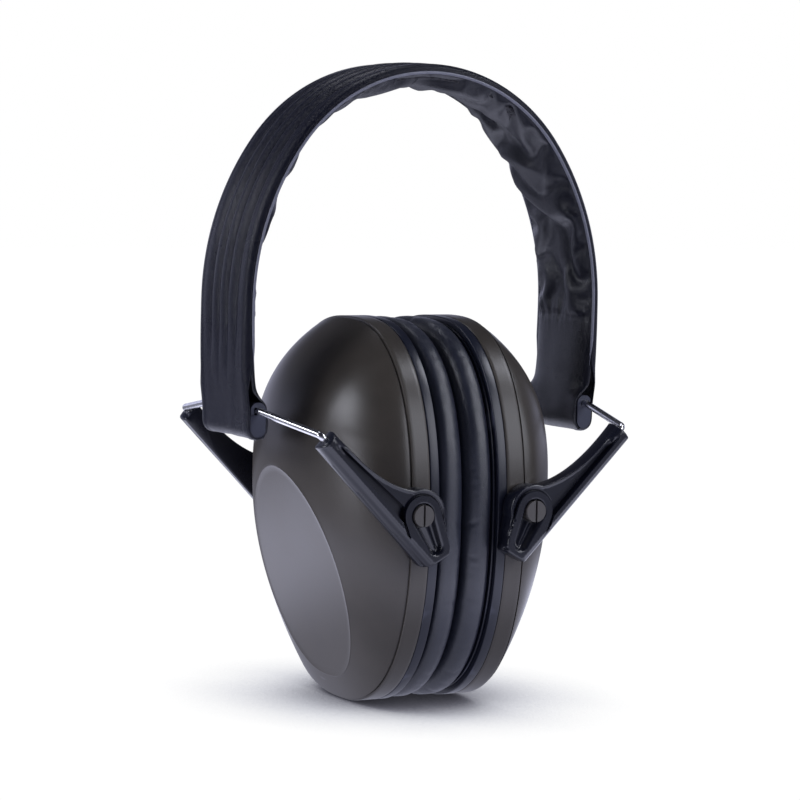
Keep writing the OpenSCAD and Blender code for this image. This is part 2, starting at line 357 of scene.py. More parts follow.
def foam_material(name, colour):
    """Open-cell foam: pores of two sizes."""
    m, g, shader = material(name)
    pores = g.add("TexVoronoi", {"Vector": g.read("TexCoord", "Object"), "Scale": 900})
    cells = g.grey_ramp(pores.outputs["Distance"], 0.1, 0, 0.6, 1)
    fine = g.bump(g.noise(2600, 3), 0.6, 0.0003)
    fill(g, shader, Base_Color=g.mix(cells, scaled(colour, 0.35), colour), Roughness=0.95,
         Normal=g.bump(cells, 0.9, 0.0007, fine))
    return m


OLIVE = plastic("olive_plastic", (0.053, 0.046, 0.039), (0.11, 0.103, 0.10), 0.33, 2400, 0.00003)
GLOSS = plastic("gloss_black_plastic", (0.0065, 0.0075, 0.0155), (0.016, 0.018, 0.03), 0.28, 3200, 0.00002,
                coat=0.2, coat_rough=0.12)
BLACK = plastic("black_plastic", (0.011, 0.013, 0.025), (0.055, 0.06, 0.09), 0.3, 2800, 0.00003)
COVER = leatherette("cover_leatherette", (0.0065, 0.0072, 0.0155), 0.0, 0.3, 1900, 0.00006,
                    crease=0.00005, gloss=0.2)
# painted highlight: the piping's pale colour stands for the light line of highlight along the band's edges
PIPING_HIGHLIGHT = leatherette("piping_leatherette", (0.20, 0.205, 0.26), 0.2, 0.3, 2600, 0.00002)
LINING = leatherette("lining_leatherette", (0.0055, 0.0065, 0.015), 0.03, 0.33, 1900, 0.00004, gloss=0.42)
CUSHION = leatherette("cushion_leatherette", (0.013, 0.016, 0.030), 0.05, 0.38, 2100, 0.000025, gloss=0.8)
FOAM = foam_material("foam", (0.085, 0.085, 0.095))
WIRE = metal("wire_steel", (0.74, 0.74, 0.75), 0.2, (1, 1, 1))
SPRING = metal("spring_steel", (0.55, 0.55, 0.57), 0.34, (1, 0.15, 1))


def finish(piece, mat, *stands_for):
    piece.data.materials.clear()
    piece.data.materials.append(mat)
    if stands_for:
        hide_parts(*stands_for)


def on_both_sides(piece, kind, mat, body, *nodes):
    """Names the right-hand piece, mirrors it for the left, and rides each on its own body."""
    piece.name = "right_" + kind
    other = mirrored(piece, "left_" + kind, 0)
    for side, p in (("right", piece), ("left", other)):
        finish(p, mat, *[f"{side}_{n}" for n in nodes])
        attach(p, f"{side}_{body}")
    return piece, other


# ---- rings round the cup
def oval_ring(name, profile, smooth=30, count=ROUND):
    """A ring round the cup whose cross-section is a closed loop of (x, inset)."""
    points = np.concatenate([section(x, inset, count) for x, inset in profile])
    return new_piece(name, points, ring_faces(len(profile), count, True), smooth)


def polar(degrees, r, centre=(0, 0)):
    a = math.radians(degrees)
    return np.array([centre[0] + r * math.cos(a), centre[1] + r * math.sin(a)])


def rounded_box(x0, x1, outer, inner, r, steps=4):
    """Closed loop round a rectangular cross-section with rounded corners."""
    left, right, low, high = x0 + r, x1 - r, outer + r, inner - r
    corners = ((left, low, 180), (right, low, 270), (right, high, 0), (left, high, 90))
    return [polar(start + 90 * k / steps, r, (x, y)) for x, y, start in corners for k in range(steps + 1)]


def seal_plates():
    lip = plate_high[0] - 3.0
    ring = oval_ring("plate", rounded_box(plate_low[0], lip, 0, 15, 0.3))
    on_both_sides(ring, "seal_ring", BLACK, "cup", "seal_plate")
    tongue = oval_ring("lip", rounded_box(lip - 0.2, plate_high[0], WALL + 0.35, WALL + 1.6, 0.25))
    on_both_sides(tongue, "seal_ring_lip", BLACK, "cup")
    back = oval_ring("carrier", rounded_box(carrier_low[0], carrier_high[0], 1.4, 14, 0.2))
    on_both_sides(back, "cushion_plate", BLACK, "cup", "cushion_carrier")


# ---- cup shell
def in_dome(p, inset):
    """Whether points are inside the dome, drawn in by inset."""
    q = (p[:, 0] - DOME_X) / (DOME_D - inset)
    qc = np.clip(q, 0, 0.99999)
    hy = (CUP_HALF_Y - GROOVE - inset) * (1 - qc ** 1.83) ** (1 / 1.83)
    hz = (CUP_HALF_Z - GROOVE - inset) * (1 - qc) ** 0.52
    dz = p[:, 2] - CUP_Z - DOME_LIFT * qc
    f = np.abs(p[:, 1] / hy) ** SQUARE + np.abs(dz / hz) ** SQUARE
    return (q < 1) & (f < 1)


def ray_lengths(count, most, halvings, inside):
    """How far each of some rays stays inside a shape, by halving."""
    near, far = np.zeros(count), np.full(count, most)
    for _ in range(halvings):
        mid = (near + far) / 2
        within = inside(mid[:, None])
        near, far = np.where(within, mid, near), np.where(within, far, mid)
    return near[:, None]


def dome_hits(start, ways, inset=0.0):
    """Where rays from start leave the dome."""
    return start + ways * ray_lengths(len(ways), 120.0, 44, lambda d: in_dome(start + ways * d, inset))


def dome_ring(foot, edge, t, inset=0.0):
    """A ring on the dome, a share t of the way from its foot to the edge of the flat."""
    return dome_hits(DOME_EYE, unit(foot + (edge - foot) * t - DOME_EYE), inset)


def unit(v):
    return v / np.linalg.norm(v, axis=-1, keepdims=True)


def facet_frame():
    """A point on the flat oval, its normal and its two directions."""
    normal = np.array([math.cos(FACET_TILT), 0, -math.sin(FACET_TILT)])
    up = np.array([math.sin(FACET_TILT), 0, math.cos(FACET_TILT)])
    centre = np.array([0, 0, PIN[1]]) + normal * FACET_REACH - up * FACET_DROP
    return centre, normal, up, np.array([0, 1.0, 0])


def cup_shells():
    """Rim band, groove, dome and flat oval as rings of one smooth surface, then a wall behind it."""
    mouth = shell_low[0]
    band = mouth + BAND_W
    rings = [section(x, inset) for x, inset in (
        (mouth, 0.3), (mouth + 0.1, 0.1), (mouth + 0.3, 0.0), (mouth + 1.2, 0.0),
        (band - 1.2, 0.0), (band - 0.25, 0.0), (band - 0.08, 0.06), (band, 0.25),
        (band + 0.1, 0.75), (DOME_X - 0.2, 0.8), (DOME_X - 0.08, 0.6), (DOME_X, GROOVE))]
    centre, normal, up, across = facet_frame()
    angles = turn(ROUND)
    ways = np.cos(angles)[:, None] * across + np.sin(angles)[:, None] * up
    edge = dome_hits(centre - normal * 0.001, ways)
    foot = rings[-1]
    # the flat oval's points are spread so that each lines up with one at the foot of the dome
    steps = np.concatenate([[0.004, 0.012, 0.03], np.linspace(0.06, 0.94, 46), [0.965, 0.982, 0.991]])
    rings += [dome_ring(foot, edge, t) for t in steps]
    rings.append(edge + normal * BEAD - (edge - centre) * 0.004)
    inner = centre + (edge - centre) * 0.985
    rings.append(inner + normal * BEAD * 0.6)
    rings += [centre + (edge - centre) * share for share in (0.972, 0.93, 0.75, 0.5, 0.25)]
    outside = len(rings)
    middle = centre - normal * WALL
    edge = dome_hits(middle - normal * 0.001, ways, WALL)
    rings += [middle + (edge - middle) * share for share in (0.25, 0.5, 0.75, 1.0)]
    foot = section(DOME_X, GROOVE + WALL)
    rings += [dome_ring(foot, edge, t, WALL) for t in np.linspace(0.97, 0.03, 24)]
    rings += [section(x, inset) for x, inset in (
        (DOME_X, GROOVE + WALL), (DOME_X - 0.6, WALL), (mouth + 0.15, WALL), (mouth, WALL - 0.15))]
    points = np.vstack([np.concatenate(rings), centre, middle])
    hub, last = len(rings) * ROUND, (outside - 1) * ROUND
    faces = [f for f in ring_faces(len(rings), ROUND, True) if not last <= f[0] < last + ROUND]
    faces += fan(last, ROUND, hub) + fan(last + ROUND, ROUND, hub + 1)
    shell = new_piece("shell", points, faces)
    seat = -arm_high[1] - 0.1  # a round spot face, a boss inside it and a hole for the stud
    for s in (-1, 1):
        combine(shell, pin_cylinder(s * seat, s * (seat + 5), 4.9))
        combine(shell, pin_cylinder(s * (seat - 5.4), s * (seat - 0.3), 5.0), "UNION")
        combine(shell, pin_cylinder(s * (seat - 7), s * (seat + 2), 2.55))
    shade(shell, 32)
    on_both_sides(shell, "cup", OLIVE, "cup", "cup_shell")


def acoustic_foams():
    """The foam block in each cup: flat towards the ear, domed behind, slightly uneven."""
    inset = 9.0
    flat = foam_low[0]
    rings = [section(flat, inset + d) for d in (24, 16, 8, 3, 1)]
    rings.append(section(flat, inset) + [0.5, 0, 0])
    foot = section(DOME_X, inset + GROOVE)
    tip = np.array([DOME_X + (DOME_D - inset) * 0.999, 0, CUP_Z + DOME_LIFT])
    rings += [dome_ring(foot, tip, t, inset) for t in np.linspace(0.02, 0.97, 24)]
    points = np.concatenate(rings)
    noise.seed_set(1)
    uneven = np.array([noise.noise_vector(Vector(p) * 0.35) for p in points])
    points = points + 0.3 * uneven * [0.6, 1, 1]
    points = np.vstack([points, [flat, 0, CUP_Z], tip])
    hub = len(rings) * ROUND
    faces = ring_faces(len(rings), ROUND) + fan(0, ROUND, hub) + fan(hub - ROUND, ROUND, hub + 1)
    on_both_sides(new_piece("foam", points, faces, 40), "sound_foam", FOAM, "cup", "acoustic_foam")


# ---- cushions
def cushion_profile():
    """Cross-section of a cushion: full where it meets its ring, crowned, and rounder towards the head."""
    x0, x1 = skin_low[0], skin_high[0]
    outer, inner = 0.1, 16.3
    mid_x = x0 + (x1 - x0) * 0.56
    loop = []
    count = 44
    for a in turn(count):
        c, s = math.cos(a), math.sin(a)
        power = 4.2 if c > 0 else 2.15
        r = (abs(c) ** power + abs(s) ** power) ** (-1 / power)
        x = mid_x + (x1 - mid_x if c > 0 else mid_x - x0) * r * c
        inset = (outer + inner) / 2 - (inner - outer) / 2 * r * s
        loop.append((x, inset))
    return loop


def cushions():
    """Leatherette rings: inflated as cloth from a slack start and welded at the back, so that they pucker."""
    ring = oval_ring("cushion", cushion_profile(), None, 300)
    rest = np.array([v.co for v in ring.data.vertices]) / MM
    welded = rest[:, 0] > skin_high[0] - 0.6
    moved = settle(ring, welded, shrink=-0.025, pressure=3.0, frames=20, bending=0.4)
    final = (rest + capped(moved - rest, 0.45)) * MM
    ring.data.vertices.foreach_set("co", final.astype(np.float32).ravel())
    ring.data.update()
    pucker(ring)
    sub = ring.modifiers.new("smooth", "SUBSURF")
    sub.levels = sub.render_levels = 1
    apply_modifiers(ring)
    ring.data.shade_smooth()
    for piece, side, x in zip(on_both_sides(ring, "cushion", CUSHION, "cup", "cushion_skin", "cushion_foam"),
                              ("right", "left"), (1, -1)):
        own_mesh(piece)


def settle(piece, pinned, shrink, pressure, frames, bending):
    """Cloth simulation at a hundred times the size; returns where the points end up, in millimetres."""
    scale = 0.1 / MM
    work = copied(piece)
    for v in work.data.vertices:
        v.co = v.co * scale
    work.vertex_groups.new(name="pin").add(np.nonzero(pinned)[0].tolist(), 1.0, "REPLACE")
    cloth = work.modifiers.new("cloth", "CLOTH")
    settings = {"quality": 6, "mass": 0.3, "tension_stiffness": 18, "compression_stiffness": 18,
                "shear_stiffness": 8, "bending_stiffness": bending, "air_damping": 2, "shrink_min": shrink,
                "use_pressure": pressure != 0, "uniform_pressure_force": pressure, "vertex_group_mass": "pin"}
    for key, value in settings.items():
        setattr(cloth.settings, key, value)
    cloth.settings.effector_weights.gravity = 0
    cloth.collision_settings.use_self_collision = False
    cloth.point_cache.frame_start, cloth.point_cache.frame_end = 1, frames
    for f in range(1, frames + 1):
        bpy.context.scene.frame_set(f)
    done = work.evaluated_get(bpy.context.evaluated_depsgraph_get())
    moved = np.array([v.co for v in done.data.vertices]) / scale / MM
    bpy.context.scene.frame_set(1)
    bpy.data.objects.remove(work)
    return moved


def capped(step, most):
    """Steps cut down to a greatest length."""
    length = np.linalg.norm(step, axis=-1, keepdims=True)
    return step * np.minimum(1, most / np.maximum(length, 1e-6))


def pucker(ring):
    """Fine creases across the walls, stronger by the weld, and no bulge past the faces that meet."""
    normals = [v.normal.copy() for v in ring.data.vertices]
    depth = skin_high[0] - skin_low[0]
    for v, n in zip(ring.data.vertices, normals):
        p = np.array(v.co) / MM
        angle = math.atan2(p[2] - CUP_Z, p[1])
        back = (p[0] - skin_low[0]) / depth
        wall = 1 - abs(n.x)
        along = angle * 34
        wobble = waver(along * 0.22, p[0] * 0.3, 3.1)
        lines = waver(along * 1.7 + wobble * 2, p[0] * 0.28, 7.7)
        patch = 0.3 + 0.7 * smoothstep(-0.25, 0.35, waver(along * 0.11, 1.3, 0.0))
        upper = 0.45 + 0.55 * smoothstep(0.1, 0.8, math.sin(angle))
        height = 0.34 * lines * patch * wall * upper * (0.15 + 0.85 * max(back, 0.0) ** 1.5)
        moved = p + np.array(n) * height
        moved[0] = min(max(moved[0], skin_low[0] - 0.1), skin_high[0])
        v.co = Vector(moved) * MM


# ---- headband arch
BAND_HALF = cover_high[0]
BAND_HALF_Y = (cover_high[1] - cover_low[1]) / 2
TOP_Z = cover_high[2]
CROWN_R = 52.0  # the arch is three arcs: crown, side and a nearly straight lower end
ARCH_RISE = 67.2
ARCH_Z = TOP_Z - ARCH_RISE
CROWN_Z = TOP_Z - CROWN_R
SIDE_R = (BAND_HALF ** 2 + (ARCH_RISE - CROWN_R) ** 2 - CROWN_R ** 2) / (2 * (BAND_HALF - CROWN_R))
SIDE_X = BAND_HALF - SIDE_R
SIDE_A = math.atan2(ARCH_RISE - CROWN_R, -SIDE_X)
LOWER_R = 300.0
LOWER_X = BAND_HALF - LOWER_R
FITTING_R = 2.3
FITTING_Z = FOLD[1] - 2.4
FITTING_DZ = 2.5


def arch_point(s):
    """Point and outward normal on the band's outer face at a length s from the crown."""
    crown = CROWN_R * (math.pi / 2 - SIDE_A)
    side = SIDE_R * SIDE_A
    if s < crown:
        x, z, r, a = 0, CROWN_Z, CROWN_R, math.pi / 2 - s / CROWN_R
    elif s < crown + side:
        x, z, r, a = SIDE_X, ARCH_Z, SIDE_R, SIDE_A - (s - crown) / SIDE_R
    else:
        x, z, r, a = LOWER_X, ARCH_Z, LOWER_R, -(s - crown - side) / LOWER_R
    return np.array([x + r * math.cos(a), z + r * math.sin(a)]), np.array([math.cos(a), math.sin(a)])


def arch_line(length, count):
    """Evenly spaced points and normals on the arch, from the crown."""
    places = [arch_point(s) for s in np.linspace(0, length, count)]
    return np.array([p for p, _ in places]), np.array([n for _, n in places])


def arch_length(z):
    """Length from the crown to the height z on the lower arc."""
    return CROWN_R * (math.pi / 2 - SIDE_A) + SIDE_R * SIDE_A + LOWER_R * math.asin((ARCH_Z - z) / LOWER_R)


def lengths_along(line):
    return np.concatenate([[0], np.cumsum(np.linalg.norm(np.diff(line, axis=0), axis=1))])


def resampled(points, step):
    """The same line with evenly spaced points."""
    points = np.array(points)
    lengths = lengths_along(points)
    count = max(2, int(round(lengths[-1] / step)) + 1)
    s = np.linspace(0, lengths[-1], count)
    return np.column_stack([np.interp(s, lengths, points[:, k]) for k in range(points.shape[1])])


def relaxed(points, passes):
    """Softens a line, with its ends kept."""
    points = points.copy()
    for _ in range(passes):
        points[1:-1] = points[1:-1] / 2 + (points[:-2] + points[2:]) / 4
    return points


def outward(line):
    """Normals to the left of travel turned outward: the line runs down the outside of the right side."""
    t = np.gradient(line, axis=0)
    t = t / np.linalg.norm(t, axis=1, keepdims=True)
    return np.column_stack([-t[:, 1], t[:, 0]])


def strip(name, line, normals, profiles):
    """A strip along line, with a closed loop of (y, depth) at each station."""
    points = []
    for (px, pz), (nx, nz), loop in zip(line, normals, profiles):
        points += [(px - nx * depth, y, pz - nz * depth) for y, depth in loop]
    return new_piece(name, points, tube_faces(len(line), len(profiles[0])))


# ---- headband pieces
BAND_T = 5.6
FACE_POINTS = 89
EDGE_R = 2.3  # rounding of the covering's long edges
RIBS = (-8.6, -3.2, 1.9, 7.0)  # grooves between the padded ribs, from front to rear


def cover_line():
    """The covering's outer face: down the arch, then under the end fitting."""
    top, _ = arch_line(arch_length(FITTING_Z + 8.2), 150)
    r = FITTING_R + 1.0
    bottom = [(FOLD[0] + r, z) for z in np.linspace(FITTING_Z + 1.5, FITTING_Z - FITTING_DZ, 8)]
    bottom += round_the_fitting(r, 0, -118, 24)
    return relaxed(resampled(np.vstack([top, bottom]), 0.8), 3)


def round_the_fitting(r, start, end, count):
    """Points round the lower end of the end fitting, by angle in degrees, without the first."""
    return [polar(a, r, (FOLD[0], FITTING_Z - FITTING_DZ)) for a in np.linspace(start, end, count)[1:]]


def headband_cover():
    """Ribbed leatherette over thin wadding, in a left and a right half that meet at the crown."""
    line = cover_line()
    normals = outward(line)
    half = BAND_HALF_Y
    lengths = lengths_along(line)
    end_s = arch_length(FITTING_Z + 8.2)
    profiles = []
    for p, s in zip(line, lengths):
        near_end = smoothstep(end_s - 7, end_s + 1, s)
        lip = 2.8 + (0.95 - 2.8) * near_end
        thick = 1.3 + (0.85 - 1.3) * near_end
        ribs = 1 - smoothstep(end_s - 26, end_s + 2, s)
        profiles.append(cover_loop(half, lip, thick, ribs, s))
    right = strip("right_headband_cover", line, normals, profiles)
    shade(right, 60)
    return right


def cover_loop(half, lip, thick, ribs, s):
    """Outer face with ribs, edges rolled over to a fine piping, and the plain inner side."""
    r = min(EDGE_R, lip - 0.15)
    flat = half - EDGE_R
    face = [(y, outer_depth(y, ribs, s, half)) for y in np.linspace(-flat, flat, FACE_POINTS)]
    start = min(face[0][1], r - 0.3)
    face = [(y, min(d, start) if abs(y) > half - 2.4 else d) for y, d in face]
    edge = []
    for k in range(1, 10):
        a = math.pi / 2 * k / 9
        edge.append((flat + EDGE_R * math.sin(a) - 0.06, start + (r - start) * (1 - math.cos(a))))
    k = min(1, lip / 2.8)
    edge += [(half - 0.18, lip - 0.72 * k), (half + 0.08, lip - 0.6 * k), (half + 0.16, lip - 0.36 * k),
             (half + 0.1, lip - 0.12 * k), (half - 0.1, lip), (half - 0.9, lip)]
    inner = min(max(thick, 0.4), lip - 0.05)
    edge += [(half - 1.5, (lip + inner) / 2), (half - 2.2, inner)]
    return face + edge + [(0, inner)] + [(-y, d) for y, d in reversed(edge)]


def outer_depth(y, ribs, s, half):
    """How far the outer face lies below its plain arch at y."""
    edges = (-half, *RIBS, half)
    depth = 0.0
    for a, b in zip(edges[:-1], edges[1:]):
        if a <= y < b:
            t = (y - a) / (b - a)
            t = max(t, 0.5) if a == -half else min(t, 0.5) if b == half else t
            depth = 1.05 * abs(2 * t - 1) ** 2.2
            depth *= 1 - 0.35 * waver(s * 0.03, a, 2.0)
    depth += 0.7 * (y / half) ** 2
    fade = 1 - smoothstep(half - 3.4, half - 2.4, abs(y))
    soft = 0.14 * (1 + waver(s * 0.10, y * 0.22, 5.5)) * (1.6 - ribs)
    return depth * ribs + soft * fade


def lining_line():
    """The lining's inner face: under the arch, then down round the end fitting to meet the covering."""
    points, normals = arch_line(arch_length(FITTING_Z + 9.5), 150)
    r = FITTING_R + 1.05
    bottom = [(FOLD[0] - r, z) for z in np.linspace(FITTING_Z + 0.8, FITTING_Z - FITTING_DZ, 8)]
    bottom += round_the_fitting(r, 180, 238, 14)
    return relaxed(resampled(np.vstack([points - normals * BAND_T, bottom]), 0.75), 6)


POCKET_Z = 108.0  # seam between the gathered lining and the smooth pocket
ACROSS = 45


def headband_lining():
    """Soft leatherette channel: gathered over the head, puckered at a seam, smooth in the pocket below."""
    line = lining_line()
    out = -outward(line)
    rows = len(line)
    half = (lining_high[1] - lining_low[1]) / 2
    lengths = lengths_along(line)
    ease = np.linspace(-1, 1, ACROSS)
    ys = half * np.sign(ease) * (1 - (1 - np.abs(ease)) ** 1.25)
    face = np.zeros((rows, ACROSS, 3))
    back = np.zeros((rows, 3))
    for i, (p, n, s) in enumerate(zip(line, out, lengths)):
        wall = 2.7 * smoothstep(FITTING_Z + 3.5, FITTING_Z + 9, p[1]) + 0.1
        t = np.abs(ys) / half
        depth = wall * (0.55 * t ** 3 + 0.45 * t ** 9)
        gathered = smoothstep(POCKET_Z - 1, POCKET_Z + 8, p[1])
        depth -= np.array([fold_height(y, s, p[1], half, gathered) for y in ys]) * (1 - t ** 6)
        face[i] = np.column_stack([p[0] - n[0] * depth, ys, p[1] - n[1] * depth])
        back[i] = [-n[0], 0, -n[1]]
    face = gather(face, back, half)
    face[0, :, 0] = 0
    rear = face + back[:, None, :] * 0.6
    rear[0, :, 0] = 0
    loops = np.concatenate([face, rear[:, ::-1]], 1)
    right = new_piece("right_headband_lining", loops.reshape(-1, 3), tube_faces(rows, 2 * ACROSS))
    shade(right, 70)
    return right


def gather(face, back, half):
    """Cloth simulation of an over-long lining sewn down along both edges and at the pocket seam."""
    rows = len(face)
    points = face.reshape(-1, 3)
    faces = [(i * ACROSS + k, i * ACROSS + k + 1, (i + 1) * ACROSS + k + 1, (i + 1) * ACROSS + k)
             for i in range(rows - 1) for k in range(ACROSS - 1)]
    sheet = new_piece("sheet", points, faces)
    pinned = (np.abs(points[:, 1]) > half - 0.9) | (points[:, 2] < POCKET_Z)
    moved = settle(sheet, pinned, shrink=-0.055, pressure=0.0, frames=24, bending=18.0)
    bpy.data.objects.remove(sheet)
    step = (moved - points).reshape(face.shape)
    rise = -np.einsum("ijk,ik->ij", step, back)
    slide = step + rise[:, :, None] * back[:, None, :]
    rise = np.clip(rise, -1.0, 1.3)
    for _ in range(5):
        around = rise[:-2, 1:-1] + rise[2:, 1:-1] + rise[1:-1, :-2] + rise[1:-1, 2:]
        rise[1:-1, 1:-1] = rise[1:-1, 1:-1] / 2 + around / 8
    slide = capped(slide, 0.5)
    return face + slide - rise[:, :, None] * back[:, None, :]


def fold_height(y, s, z, half, gathered):
    """How far the lining stands in from its plain face: broad slanting folds, and puckers at the seam."""
    warp = waver(s * 0.05, y * 0.07, 1.7)
    slant = s * 0.058 + y * 0.034 + 0.9 * warp
    other = s * 0.045 - y * 0.05 + 1.1 * waver(s * 0.035, y * 0.04, 8.7)
    valleys = min(abs(math.sin(slant * math.pi)), 0.3 + 0.7 * abs(math.sin(other * math.pi)))
    fold = 1.25 * valleys ** 0.7 - 0.55 + 0.25 * waver(s * 0.10, y * 0.12, 4.4)
    height = gathered * fold
    near = math.exp(-(((z - POCKET_Z - 1.5) / 3.5) ** 2))
    line = waver(y * 0.8, z * 0.12, 9.1)
    height += near * 0.5 * line - 0.35 * math.exp(-(((z - POCKET_Z) / 0.7) ** 2))
    return height + (1 - gathered) * 0.16 * waver(y * 0.14, z * 0.10, 6.0)


def flat_bar(name, node, length, count, thick, r, mat):
    """A flat bar under the arch, as deep and as wide as its CAD node."""
    low, high = box_mm(node)
    line, normals = arch_line(length, count)
    depth = TOP_Z - high[2]
    loop = rounded_box(low[1], high[1], depth, depth + thick, r)
    piece = strip(name, line, normals, [loop] * count)
    shade(piece, 40)
    across_the_flex(piece, mat, node)


def spring_and_pad():
    """The steel strip and the crown pad inside the band, each in two halves."""
    flat_bar("right_spring_strip", "headband_spring", arch_length(box_mm("headband_spring")[0][2]), 110,
             0.8, 0.18, SPRING)
    _, pad_high = box_mm("crown_foam")
    pad_length = CROWN_R * math.asin(min(0.99, pad_high[0] / (CROWN_R - (TOP_Z - pad_high[2]))))
    flat_bar("right_crown_pad", "crown_foam", pad_length, 50, 1.5, 0.5, FOAM)


def across_the_flex(piece, mat, *nodes):
    """A right-hand half and its mirror image, each given its material, with the CAD nodes it stands for hidden."""
    other = mirrored(piece, piece.name.replace("right_", "left_"), 0)
    for side, p, x in (("right", piece, 1), ("left", other, -1)):
        finish(p, mat, *nodes)
        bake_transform(p)


CORD_R = 0.42


def pipings():
    """A thin cord along each edge where the covering meets the lining; the cord is real, its pale colour is a
    painted highlight along the band's edges.
    """
    line, normals = arch_line(arch_length(FITTING_Z + 13), 150)
    for edge, y in (("front", -BAND_HALF_Y), ("rear", BAND_HALF_Y)):
        radii = CORD_R * (1 - 0.9 * smoothstep(0.93, 1, np.linspace(0, 1, len(line))))
        loops = [[(y - math.copysign(CORD_R - r, y) + r * math.cos(a), 2.95 + r * math.sin(a))
                  for a in turn(12)] for r in radii]
        cord = strip(f"right_{edge}_piping", line, normals, loops)
        shade(cord, 80)
        across_the_flex(cord, PIPING_HIGHLIGHT)


def headband():
    pipings()
    across_the_flex(headband_cover(), COVER, "headband_cover")
    across_the_flex(headband_lining(), LINING, "headband_lining")
    spring_and_pad()


# ---- wire
def filleted(corners, r):
    """A line with each inner corner turned into an arc of radius r."""
    corners = [np.array(c, float) for c in corners]
    line = [corners[0]]
    for a, b, c in zip(corners[:-2], corners[1:-1], corners[2:]):
        u, v = unit(a - b), unit(c - b)
        turn = math.acos(float(np.clip(np.dot(u, v), -1, 1)))
        back = r / math.tan(turn / 2)
        centre = b + unit(u + v) * (r / math.sin(turn / 2))
        p, q = b + u * back - centre, b + v * back - centre
        sweep = math.acos(float(np.clip(np.dot(p, q) / r / r, -1, 1)))
        for k in range(13):
            t = k / 12
            line.append(centre + (p * math.sin((1 - t) * sweep) + q * math.sin(t * sweep)) / math.sin(sweep))
    line.append(corners[-1])
    return np.array(line)


def swept_tube(name, line, radius, count=28):
    """A round bar along a line, with domed ends."""
    tangents = unit(np.gradient(line, axis=0))
    side = unit(np.cross(tangents[0], [0.3, 0.2, 0.9]))
    angles = turn(count)
    c, s = radius * np.cos(angles)[:, None], radius * np.sin(angles)[:, None]
    circles = []
    for t in tangents:
        side = unit(side - t * np.dot(side, t))
        circles.append(c * side + s * np.cross(t, side))
    rings = [p + circle for p, circle in zip(line, circles)]

    def dome(end, share, way):
        return line[end] + way * tangents[end] * radius * 0.35 * (1 - share ** 2) + circles[end] * share

    rings = [dome(0, 0.55, -1), dome(0, 0.85, -1)] + rings + [dome(-1, 0.85, 1), dome(-1, 0.55, 1)]
    return new_piece(name, np.concatenate(rings), tube_faces(len(rings), count), 50)


WIRE_R = 1.0
LEG_Y = 43.0  # distance of the wire's legs from the middle plane
TIP = PIN + np.array([28.5, 21.0])  # where a leg enters its arm
LEG_IN = 28.0  # length of leg inside an arm


def wires():
    """One bent wire a side: pivot across the band, two diagonals, two legs down the arms."""
    reach = BAND_HALF_Y + 1.2
    knee = TIP - 1.7 * LEG
    end = TIP + LEG_IN * LEG
    corners = [(end[0], LEG_Y, end[1]), (knee[0], LEG_Y, knee[1]), (FOLD[0], reach, FOLD[1]),
               (FOLD[0], -reach, FOLD[1]), (knee[0], -LEG_Y, knee[1]), (end[0], -LEG_Y, end[1])]
    on_both_sides(swept_tube("wire", filleted(corners, 1.6), WIRE_R), "bent_wire", WIRE, "wire", "wire")


# ---- arms
FACE = 46.6 - LEG_Y  # heights on an arm are measured out from the wire's leg
BACK = 40.8 - LEG_Y
BOSS_R = 7.3
GRID_STEP = 0.33  # spacing of the points on an arm's face
LOW_SIDE = np.array([-LEG[1], LEG[0]])  # from the leg to the arm's lower edge


def arm_outline():
    """Closed outline of an arm in x and z from the stud: lower edge, toe, boss, concave upper edge."""
    tip = TIP - PIN
    low, high = tip + LOW_SIDE * 3, tip - LOW_SIDE * 3
    corners = [low, (-1.6, -14.6), (-5.5, -12.6), (-8.9, -10.6)]
    points = [tuple(high)]
    points += round_corner(points[-1], low, corners[1], 0.5)
    points += round_corner(low, corners[1], corners[2], 1.0)
    points += round_corner(corners[1], corners[2], corners[3], 1.0)
    points += round_corner(corners[2], corners[3], (-7.25, -1.4), 0.8)
    start = math.degrees(math.atan2(-1.4, -7.17))
    points += [tuple(polar(a, BOSS_R)) for a in np.linspace(start + 360, 71, 26)]
    points += curve(points[-1], (14.0, BOSS_R + 1.4), high, 40)[1:]
    return resampled(points, 0.42)[:-1]


def curve(a, b, c, count):
    """Points from a to c on a parabola whose end tangents meet at b."""
    a, b, c = np.array(a), np.array(b), np.array(c)
    return [tuple((1 - t) ** 2 * a + 2 * t * (1 - t) * b + t * t * c) for t in np.linspace(0, 1, count)]


def round_corner(a, b, c, back):
    """The corner at b between a and c, rounded from a distance back on each side."""
    a, b, c = np.array(a), np.array(b), np.array(c)
    return curve(b + unit(a - b) * back, b, b + unit(c - b) * back, 7)


def inside_outline(points, outline):
    """Whether points are inside a closed outline."""
    x, y = points[:, 0], points[:, 1]
    inside = np.zeros(len(points), bool)
    for (x0, y0), (x1, y1) in zip(outline, np.roll(outline, -1, axis=0)):
        crosses = (y0 > y) != (y1 > y)
        with np.errstate(divide="ignore", invalid="ignore"):
            at = (x1 - x0) * (y - y0) / (y1 - y0) + x0
        inside ^= crosses & (x < at)
    return inside


def outline_distance(points, outline):
    """Distance from points to a closed outline."""
    best = np.full(len(points), 1e9)
    for p, q in zip(outline, np.roll(outline, -1, axis=0)):
        best = np.minimum(best, capsule_distance(points, p, 0, q, 0))
    return best


def capsule_distance(p, a, ra, b, rb):
    """Signed distance to a capsule whose radius goes from ra at a to rb at b."""
    a, b = np.array(a, float), np.array(b, float)
    d = b - a
    t = np.clip(((p - a) @ d) / (d @ d), 0, 1)
    return np.linalg.norm(p - a - t[:, None] * d, axis=1) - (ra + (rb - ra) * t)


RIM = ((0, 0), 5.45, (-3.2, -9.2), 5.2)
SLOT = ((0, 0), 3.5, (-4.1, -8.7), 2.3)


